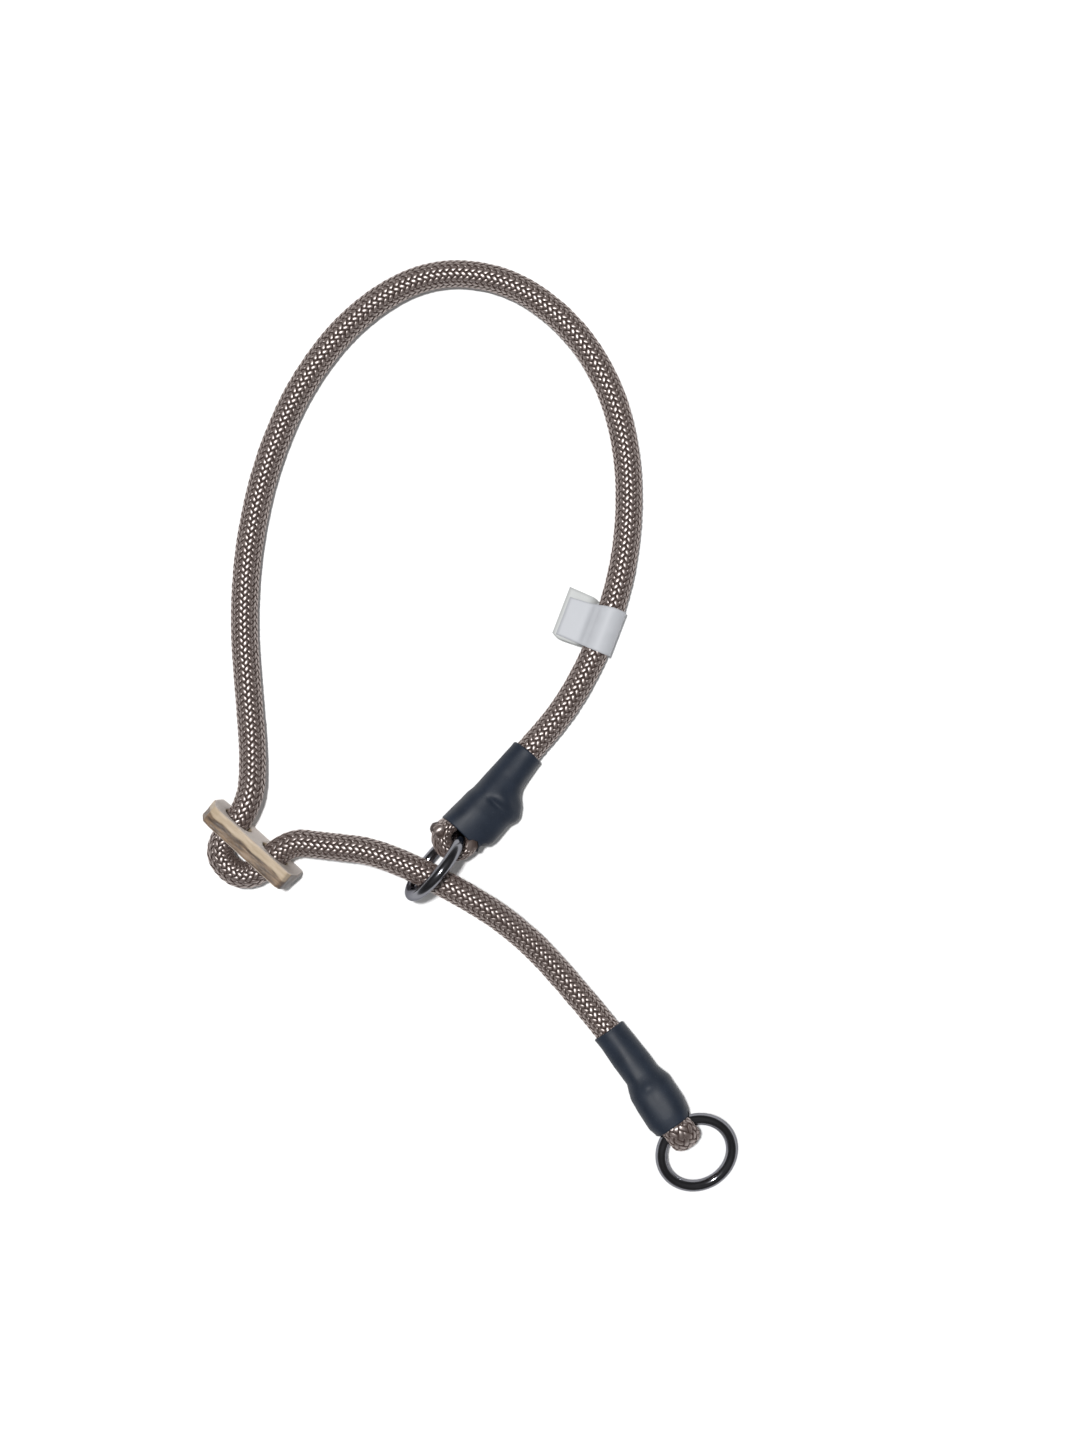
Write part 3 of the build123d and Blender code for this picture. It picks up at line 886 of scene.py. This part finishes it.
def sleeve_skin(start, axes, profile, dents, slant, seed):
    """Rows of points of the outside of a shrunk tube."""
    along, across, through = (np.array(a) for a in axes)
    table = np.array(profile)
    fine = np.linspace(table[0, 0], table[-1, 0], 400)
    kernel = np.exp(-np.linspace(-2.2, 2.2, 25) ** 2)
    kernel /= kernel.sum()
    smooth = [np.interp(fine, table[:, 0], table[:, k]) for k in range(1, 6)]
    smooth = [np.convolve(np.pad(column, len(kernel) // 2, "edge"), kernel, "valid")
              for column in smooth]
    turns = np.arange(SLEEVE_SIDES) * 2 * pi / SLEEVE_SIDES
    rows = []
    for distance in np.linspace(fine[0], fine[-1], SLEEVE_ROWS):
        left, right, top, bottom, square = (np.interp(distance, fine, column) for column in smooth)
        ring = []
        for turn in turns:
            c, s = cos(turn), sin(turn)
            size = (abs(c) ** square + abs(s) ** square) ** (-1 / square)
            flat = c * size * (left if c > 0 else right)
            high = s * size * (top if s > 0 else bottom)
            for place, angle, spread, round_spread, height in dents:
                apart = (degrees(turn) - angle + 180) % 360 - 180
                lean = exp_fall((distance - place) / spread) * height
                lean *= exp_fall(radians(apart) * SLEEVE_RADIUS / round_spread)
                flat, high = flat + c * lean, high + s * lean
            end = 1 - min(1.0, (distance - fine[0]) / SLANT_LENGTH)
            step = distance + slant * flat * end ** 2
            ripple = noise.noise(Vector((c * 1.6, s * 1.6, distance * 0.22 + seed)))
            flat += c * ripple * SLEEVE_RIPPLE
            high += s * ripple * SLEEVE_RIPPLE
            ring.append(np.array(start) + (along * step + across * flat + through * high) / 1000)
        rows.append(ring)
    return np.array(rows)


def squeeze_rope(obj, start, axes, profile, wall):
    """Presses the rope's points inside the tube, and less and less so just outside its wide end."""
    axes = np.array([list(a) for a in axes])
    points = read_points(obj.data)
    local = (points - np.array(start)) @ axes.T * 1000
    distance, flat, high = local.T
    table = np.array(profile)
    left, right, top, bottom, square = (
        np.interp(distance, table[:, 0], table[:, k]) for k in range(1, 6))
    reach_flat = np.where(flat > 0, left, right) - wall * 1000
    reach_high = np.where(high > 0, top, bottom) - wall * 1000
    fill = (np.abs(flat) / reach_flat) ** square + (np.abs(high) / reach_high) ** square
    fill = fill ** (1 / square)
    room = 1 + 0.10 * np.maximum(0.4 - distance, 0)
    near = (distance > -EYE_LENGTH) & (distance < table[-1, 0])
    near &= (np.hypot(flat, high) < EYE_REACH) & (fill > room)
    share = (room / np.maximum(fill, 1e-6))[near]
    local[near, 1] *= share
    local[near, 2] *= share
    write_points(obj.data, np.array(start) + local @ axes / 1000)


def binding(name, skin, middle_line, length, wall, material):
    """Turns of thread laid against the inside of the tube, round both legs of the eye."""
    rows, sides = skin.shape[:2]
    inside = skin + unit(middle_line[:, None] - skin) * (wall + THREAD_RADIUS * 1.15)
    steps = THREAD_TURNS * sides
    rise = np.linspace(THREAD_START, THREAD_START + THREAD_TURNS * THREAD_PITCH, steps)
    rise *= (rows - 1) / length
    low = rise.astype(int)
    share = (rise - low)[:, None]
    around = np.arange(steps) % sides
    line = inside[low, around] * (1 - share) + inside[low + 1, around] * share
    ahead = unit(np.gradient(line, axis=0))
    outward = line - middle_line[low]
    outward = unit(outward - ahead * (outward * ahead).sum(axis=1, keepdims=True))
    beside = np.cross(ahead, outward)
    turns = np.arange(THREAD_SIDES) * 2 * pi / THREAD_SIDES
    points = (line[:, None] + outward[:, None] * np.cos(turns)[None, :, None] * THREAD_RADIUS
              + beside[:, None] * np.sin(turns)[None, :, None] * THREAD_RADIUS)
    return add_mesh(name, points.reshape(-1, 3), rod_faces(steps, THREAD_SIDES), material)


def tube_with_wall(name, skin, middle_line, wall, material):
    """Closes a skin into a thin-walled tube with rounded lips at both ends."""
    sides = skin.shape[1]
    inward = unit(middle_line[:, None] - skin)
    inner = skin + inward * wall
    lip_start = skin[0] + inward[0] * wall / 2 + unit(skin[0] - skin[1]) * wall * SLEEVE_LIP
    lip_end = skin[-1] + inward[-1] * wall / 2 + unit(skin[-1] - skin[-2]) * wall * SLEEVE_LIP
    loops = [lip_start, *skin, lip_end, *inner[::-1]]
    faces = grid_faces(len(loops), sides)
    last = (len(loops) - 1) * sides
    faces += [(last + c, last + (c + 1) % sides, (c + 1) % sides, c) for c in range(sides)]
    made = add_mesh(name, np.array(loops).reshape(-1, 3), faces, material)
    face_outwards(made.data)
    return made


def tube_material(settings, name, axes):
    material, tree, shader = new_material(name)
    marks = handling(tree, 190.0, 3600.0)
    streaks = noise_of(tree, stretched(tree, places_of(tree), (90.0, 620.0, 620.0), axes), 1.0, 3.0)
    colour = mixed(tree, marks["Patches"], rgba(settings.colour, 0.75), rgba(settings.colour, 1.5))
    speck = ramp(tree, marks["Grain"], (0.62, 0.0), (0.80, 1.0))
    gloss = math(tree, "ADD", times(tree, marks["Patches"], 0.6), times(tree, streaks, 0.4))
    height = math(tree, "ADD", marks["Height"], times(tree, streaks, 0.6))
    give(tree, shader, {
        "Base Color": mixed(tree, times(tree, speck, 0.35), colour, (0.09, 0.11, 0.13, 1)),
        "Roughness": between(tree, gloss, 0.40, 0.66),
        "Normal": bump(tree, height, 0.22, 0.00018),
        "Specular IOR Level": 0.30,
    })
    return material


def thread_material(settings):
    material, tree, shader = new_material("binding_thread")
    strands = noise_of(tree, stretched(tree, places_of(tree), (1.0, 1.0, 0.35)), 3200.0, 3.0)
    marks = handling(tree, 300.0, 4200.0)
    give(tree, shader, {
        "Base Color": mixed(tree, strands, rgba(settings.thread, 0.6), rgba(settings.thread, 1.7)),
        "Roughness": between(tree, marks["Patches"], 0.55, 0.8),
        "Normal": bump(tree, strands, 0.5, 0.00015),
    })
    return material


class COLLAR_OT_make_sleeves(bpy.types.Operator):
    """Make the two shrunk sleeves and the thread that binds the cord under them"""

    bl_idname = "collar.make_sleeves"
    bl_label = "Make Sleeves"

    def execute(self, context):
        settings = context.scene.collar_sleeve
        through = SLIDING_RING_AXIS.cross(SLIDING_EYE_HOLE - SLIDING_RING_CENTRE)
        thread = thread_material(settings)
        plans = (
            ("sliding_eye", "sliding_eye", "sliding_eye_rope", SLIDING_TUBE_START, SLIDING_MOUTH,
             through, SLIDING_PROFILE, SLIDING_DENTS, 0.07, 3.0),
            ("lead_eye", "cord", "tail_rope", LEAD_TUBE_START, LEAD_MOUTH,
             UP, LEAD_PROFILE, LEAD_DENTS, 0.0, 8.0),
        )
        for name, body, rope, start, mouth, facing, profile, dents, slant, seed in plans:
            axes = frame_of(mouth - start, facing)
            skin = sleeve_skin(start, axes, profile, dents, slant, seed)
            line = skin.mean(axis=1)
            tube = tube_with_wall(name + "_tube", skin, line, settings.wall,
                                  tube_material(settings, name + "_tube", axes))
            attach(tube, body)
            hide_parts(name + "_sleeve")
            turns = binding(name + "_binding", skin, line, profile[-1][0], settings.wall, thread)
            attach(turns, body)
            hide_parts(name + "_whipping")
            settle(tube, context.scene.collar_ring, TUBE_LIFT)
            for part in ("_core", "_right_yarns", "_left_yarns"):
                squeeze_rope(bpy.data.objects[rope + part], start, axes, profile, settings.wall)
        return {"FINISHED"}


# ---- antler stop
def stop_axes():
    toward_bight = Vector((STOP_ALONG.y, -STOP_ALONG.x, 0))
    through = toward_bight * cos(STOP_LEAN) - UP * sin(STOP_LEAN)
    return STOP_ALONG, through.cross(STOP_ALONG), through


def slab_with_holes(name, settings):
    """The slice's plain shape in its own axes: length along X, height along Y, thickness along Z."""
    half = settings.length / 2
    outline = (
        (-half - 0.0006, -0.0070), (-half + 0.0020, -0.0074), (half + 0.0008, -0.0074),
        (half + 0.0018, -0.0064), (half + 0.0016, 0.0010), (half + 0.0004, 0.0062),
        (half - 0.0010, 0.0074), (-half + 0.0028, 0.0075), (-half + 0.0002, 0.0066),
        (-half - 0.0015, 0.0010),
    )
    work = bmesh.new()
    face = work.faces.new([work.verts.new((x, y, -settings.thickness / 2)) for x, y in outline])
    pushed = bmesh.ops.extrude_face_region(work, geom=[face])
    raised = [v for v in pushed["geom"] if isinstance(v, bmesh.types.BMVert)]
    bmesh.ops.translate(work, verts=raised, vec=(0, 0, settings.thickness))
    bmesh.ops.recalc_face_normals(work, faces=work.faces)
    slab = object_from(work, name)
    drills = []
    for side in (-0.5, 0.5):
        work = bmesh.new()
        place = Matrix.Translation((side * settings.spacing, 0, 0))
        bmesh.ops.create_cone(work, cap_ends=True, segments=64, radius1=settings.hole / 2,
                              radius2=settings.hole / 2, depth=0.03, matrix=place)
        drill = object_from(work, "drill")
        cut = slab.modifiers.new("hole", "BOOLEAN")
        cut.operation, cut.solver, cut.object = "DIFFERENCE", "EXACT", drill
        drills.append(drill)
    remesh = slab.modifiers.new("skin", "REMESH")
    remesh.mode, remesh.voxel_size = "VOXEL", STOP_GRAIN
    soften = slab.modifiers.new("wear", "SMOOTH")
    soften.factor, soften.iterations = 0.6, 7
    made = made_plain(slab, name)
    for drill in drills:
        mesh = drill.data
        bpy.data.objects.remove(drill)
        bpy.data.meshes.remove(mesh)
    return made


def carve_antler(obj, settings):
    """Carves bark furrows and saw marks, keeps which skin is bark, sawn or the far end that takes
    painted shade, and puts the slice in its place."""
    mesh = obj.data
    points = read_points(mesh)
    normals = np.array([v.normal for v in mesh.vertices])
    bark, sawn, far_end_shade = np.zeros((3, len(points)))
    for k, (p, n) in enumerate(zip(points, normals)):
        x, y, z = p * 1000       # in millimetres, as is the distance from the nearer hole's middle
        hole = np.hypot(abs(x) - settings.spacing / 2 * 1000, y)
        sawn[k] = float(smooth_step((abs(n[2]) - 0.55) / 0.3))
        # Painted shade: the end face that turns away from the key light is marked to be darkened.
        far_end_shade[k] = float(smooth_step((n[0] - 0.5) / 0.35)) * (hole > 6.0)
        outside = float(smooth_step((hole - 5.0) / 0.6)) * (1 - sawn[k])
        drift = noise.noise(Vector((x * 0.16, y * 0.3, 4.0))) * 1.6
        bark[k] = outside * float(smooth_step((z + 1.1 + drift * 0.7) / 1.7))
        furrow = noise.noise(Vector((x * 0.35, y * 0.9, z * 1.9))) * 0.6
        furrow += noise.noise(Vector((x * 1.1, y * 2.2, z * 3.4))) * 0.4
        grain = noise.noise(Vector((x * 0.25, y * 0.25, z * 0.25 + 9)))
        rise = 0.20 * grain * outside - 0.22 * bark[k] * max(0.0, furrow) - 0.05 * bark[k]
        rise += 0.012 * sin(x * 9.0 + y * 2.0) * sawn[k]
        points[k] += n * rise / 1000
    for label, rows in (("bark", bark), ("sawn", sawn), ("far_end_shade", far_end_shade)):
        store(mesh, label, "FLOAT", rows.astype(np.float32))
    turned = points @ np.array([list(a) for a in stop_axes()]) + np.array(STOP_CENTRE)
    turned[:, 2] = np.maximum(turned[:, 2], FLOOR_GAP)
    write_points(mesh, turned)


def antler_material(settings):
    material, tree, shader = new_material("antler")
    axes, places = stop_axes(), places_of(tree)
    marks = handling(tree, 220.0, 2600.0)
    streaks = noise_of(tree, stretched(tree, places, (150.0, 420.0, 900.0), axes), 1.0, 5.0, 0.6)
    pores = noise_of(tree, stretched(tree, places, (1400.0, 1400.0, 500.0), axes), 1.0, 2.0)
    cream = mixed(tree, ramp(tree, streaks, (0.35, 0.0), (0.68, 1.0)),
                  rgba(settings.cream, 1.12, 1.12, 1.15), rgba(settings.cream, 0.84, 0.80, 0.74))
    mottle = ramp(tree, streaks, (0.38, 0.0), (0.60, 1.0))
    brown = mixed(tree, mottle, rgba(settings.bark, 1.9, 1.9, 1.7), rgba(settings.bark, 0.55))
    ragged = times(tree, math(tree, "SUBTRACT", streaks, 0.5), 0.9)
    patch = ramp(tree, math(tree, "ADD", stored(tree, "bark"), ragged), (0.22, 0.0), (0.62, 1.0))
    skin = mixed(tree, patch, cream, brown)
    speck = ramp(tree, pores, (0.56, 0.0), (0.72, 1.0))
    pale = mixed(tree, marks["Patches"], (0.50, 0.43, 0.385, 1), (0.60, 0.54, 0.49, 1))
    pale = mixed(tree, times(tree, speck, 0.45), pale, (0.30, 0.23, 0.19, 1))
    colour = mixed(tree, stored(tree, "sawn"), skin, pale)
    # Painted shade: the far end face is darkened to a deep grey-brown.
    dark = times(tree, stored(tree, "far_end_shade"), 0.85)
    height = math(tree, "ADD", times(tree, streaks, 0.7), marks["Height"])
    give(tree, shader, {
        "Base Color": mixed(tree, dark, colour, (0.085, 0.070, 0.070, 1)),
        "Roughness": between(tree, marks["Patches"], 0.38, 0.62),
        "Normal": bump(tree, height, 0.35, 0.0003),
    })
    return material


class COLLAR_OT_make_stop(bpy.types.Operator):
    """Make the sawn antler stop with its two holes"""

    bl_idname = "collar.make_stop"
    bl_label = "Make Stop"

    def execute(self, context):
        settings = context.scene.collar_stop
        stop = slab_with_holes("antler_slice", settings)
        carve_antler(stop, settings)
        stop.data.materials.clear()
        stop.data.materials.append(antler_material(settings))
        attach(stop, "antler_stop")
        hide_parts("antler_stop")
        return {"FINISHED"}


# ---- price tag
def tag_outline(settings):
    """Line of the film from the upper flap's tip, round the cord, to the lower flap's tip,
    as (inward, up) in metres from the cord's middle."""
    upper = [(settings.reach - k * 0.0011, 0.00022 + 0.0002 * (k / 6) ** 2) for k in range(7)]
    lead_in = [(0.0056, 0.00075), (0.0050, 0.00140), (0.00445, 0.00215)]
    start, end = radians(33.0), radians(327.0)
    wrap = [(TAG_RADIUS * cos(a), TAG_RADIUS * sin(a)) for a in np.linspace(start, end, 40)]
    lead_out = [(0.0044, -0.00235), (0.0049, -0.0017), (0.0055, -0.00105), (0.0062, -0.00050)]
    lower = [(0.0070 + k * 0.00117, -0.00016 - 0.00008 * sin(k * 0.9)) for k in range(7)]
    return np.array(upper + lead_in + wrap + lead_out + lower)


def tag_sheet(name, settings, material):
    """The film as a closed thin shell: wider at the lower flap, which has a rounded corner."""
    line = tag_outline(settings)
    ahead = unit(np.gradient(line, axis=0))
    normal = np.stack([ahead[:, 1], -ahead[:, 0]], axis=1)
    inward = UP.cross(TAG_ALONG).normalized()
    share = np.linspace(0, 1, len(line))
    half = settings.width / 2
    stations = (0.0, 0.16, 0.3, 0.8, 0.88, 1.0)
    top = np.interp(share, stations, (0.80, 0.92, 1.02, 1.02, 1.16, 1.22))
    bottom = np.interp(share, stations, (0.94, 1.0, 1.03, 1.03, 1.06, 1.10))
    points = []
    for layer in (0.5, -0.5):
        for k, (u, v) in enumerate(line):
            for t in np.linspace(-1, 1, TAG_STEPS + 1):
                along = half * (top[k] * t if t > 0 else bottom[k] * t)
                corner = max(0.0, share[k] - 0.955) / 0.045
                if t < 0:
                    along *= 1 - 0.14 * corner ** 2
                wave = 0.00007 * sin(t * 2.1 + k * 0.35)
                flat = u + normal[k, 0] * (layer * TAG_FILM)
                high = v + normal[k, 1] * (layer * TAG_FILM) + (wave if u > 0.007 else 0.0)
                points.append(TAG_CENTRE + inward * flat + UP * high + TAG_ALONG * along)
    columns, rows = TAG_STEPS + 1, len(line)
    size = columns * rows
    faces = grid_faces(rows, columns, False) + [
        tuple(reversed(f)) for f in grid_faces(rows, columns, False, size)]
    rim = ([c for c in range(columns)] + [r * columns + columns - 1 for r in range(1, rows)]
           + [(rows - 1) * columns + c for c in reversed(range(columns - 1))]
           + [r * columns for r in reversed(range(1, rows - 1))])
    faces += [(a, b, b + size, a + size) for a, b in zip(rim, rim[1:] + rim[:1])]
    made = add_mesh(name, points, faces, material)
    face_outwards(made.data)
    store(made.data, "layer", "FLOAT", np.tile(np.repeat(share, columns), 2).astype(np.float32))
    return made


def film_material(settings):
    material, tree, shader = new_material("satin_film")
    marks = handling(tree, 260.0, 5200.0)
    weave = noise_of(tree, places_of(tree), 1500.0, 2.0)
    front = mixed(tree, marks["Patches"], rgba(settings.colour, 0.94), rgba(settings.colour, 1.10))
    back = mixed(tree, marks["Grain"], (0.42, 0.43, 0.43, 1), (0.54, 0.55, 0.54, 1))
    lower = ramp(tree, stored(tree, "layer"), (0.80, 0.0), (0.84, 1.0))
    give(tree, shader, {
        "Base Color": mixed(tree, lower, front, back),
        "Roughness": between(tree, marks["Patches"], 0.44, 0.60),
        "Normal": bump(tree, weave, 0.12, 0.00008),
        "Specular IOR Level": 0.30,
    })
    return material


class COLLAR_OT_make_tag(bpy.types.Operator):
    """Make the blank price tag of satin film round the cord"""

    bl_idname = "collar.make_tag"
    bl_label = "Make Tag"

    def execute(self, context):
        settings = context.scene.collar_tag
        tag = tag_sheet("price_tag_film", settings, film_material(settings))
        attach(tag, "price_tag")
        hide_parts("price_tag")
        return {"FINISHED"}


# ---- stage
def add_light(name, place, size, power):
    """A round area light that faces the origin."""
    data = bpy.data.lights.new(name, "AREA")
    data.shape, data.size, data.energy = "DISK", size, power
    light = add_object(name, data)
    light.location = place
    light.rotation_euler = (-Vector(place)).to_track_quat("-Z", "Y").to_euler()


class COLLAR_OT_make_stage(bpy.types.Operator):
    """Make the camera, the pale floor and the soft studio light"""

    bl_idname = "collar.make_stage"
    bl_label = "Make Stage"

    def execute(self, context):
        settings = context.scene.collar_stage
        scene = context.scene
        data = bpy.data.cameras.new("camera")
        data.sensor_fit, data.sensor_height = "VERTICAL", SENSOR_HEIGHT
        data.lens = settings.lens
        data.clip_start, data.clip_end = 0.01, 20.0
        camera = add_object("camera", data)
        camera.location = (*CAMERA_OVER, settings.height)
        scene.camera = camera
        corners = [(x * FLOOR_REACH, y * FLOOR_REACH, 0) for x, y in ((-1, -1), (1, -1), (1, 1), (-1, 1))]
        floor = add_mesh("floor", corners, [(0, 1, 2, 3)], smooth=False)
        material, tree, shader = new_material("floor")
        marks = handling(tree, 14.0, 400.0, 0.05)
        colour = mixed(tree, marks["Patches"], rgba(settings.floor), rgba(settings.floor, 0.99))
        give(tree, shader, {"Base Color": colour, "Roughness": 0.85, "Specular IOR Level": 0.2})
        floor.data.materials.append(material)
        add_light("key", KEY_PLACE, KEY_SIZE, KEY_POWER)
        self.make_world(scene)
        scene.view_settings.view_transform = "Standard"
        return {"FINISHED"}

    def make_world(self, scene):
        """A soft even surround, which glossy pieces see as bright low down and dark overhead."""
        world = bpy.data.worlds.new("studio")
        world.use_nodes = True
        tree = world.node_tree
        tree.nodes.clear()
        direction = put(tree, "ShaderNodeTexCoord").outputs["Generated"]
        height = put(tree, "ShaderNodeSeparateXYZ", {0: direction}).outputs[2]
        seen = ramp(tree, height, (0.0, 0.45), (0.16, 0.12), (0.55, 0.05), (0.85, 0.12), (1.0, 0.06))
        shiny = put(tree, "ShaderNodeBackground", {"Color": seen, "Strength": 1.0}).outputs[0]
        soft = put(tree, "ShaderNodeBackground", {
            "Color": (0.97, 0.985, 1.0, 1), "Strength": SURROUND}).outputs[0]
        path = put(tree, "ShaderNodeLightPath").outputs["Is Glossy Ray"]
        both = put(tree, "ShaderNodeMixShader", {0: path, 1: soft, 2: shiny}).outputs[0]
        put(tree, "ShaderNodeOutputWorld", {0: both})
        scene.world = world


# ---- panel and registration
class COLLAR_PT_panel(bpy.types.Panel):
    bl_label = "Rope Slip Collar"
    bl_idname = "COLLAR_PT_panel"
    bl_space_type = "VIEW_3D"
    bl_region_type = "UI"
    bl_category = "Collar"

    def draw(self, context):
        for operator, settings in PARTS:
            box = self.layout.box()
            box.operator(operator.bl_idname)
            group = getattr(context.scene, settings)
            for name in group.__annotations__:
                box.prop(group, name)


SETTINGS = {
    "collar_stage": StageSettings, "collar_cord": CordSettings, "collar_ring": RingSettings,
    "collar_sleeve": SleeveSettings, "collar_stop": StopSettings, "collar_tag": TagSettings,
}
PARTS = (
    (COLLAR_OT_make_stage, "collar_stage"), (COLLAR_OT_make_cord, "collar_cord"),
    (COLLAR_OT_make_rings, "collar_ring"), (COLLAR_OT_make_sleeves, "collar_sleeve"),
    (COLLAR_OT_make_stop, "collar_stop"), (COLLAR_OT_make_tag, "collar_tag"),
)


def register():
    for group in SETTINGS.values():
        bpy.utils.register_class(group)
    for operator, _ in PARTS:
        bpy.utils.register_class(operator)
    bpy.utils.register_class(COLLAR_PT_panel)
    for name, group in SETTINGS.items():
        setattr(bpy.types.Scene, name, PointerProperty(type=group))


def unregister():
    for name in SETTINGS:
        delattr(bpy.types.Scene, name)
    bpy.utils.unregister_class(COLLAR_PT_panel)
    for operator, _ in reversed(PARTS):
        bpy.utils.unregister_class(operator)
    for group in reversed(SETTINGS.values()):
        bpy.utils.unregister_class(group)


def main():
    register()
    bpy.ops.collar.make_stage()
    bpy.ops.collar.make_cord()
    bpy.ops.collar.make_rings()
    bpy.ops.collar.make_sleeves()
    bpy.ops.collar.make_stop()
    bpy.ops.collar.make_tag()


if __name__ == "__main__":
    main()
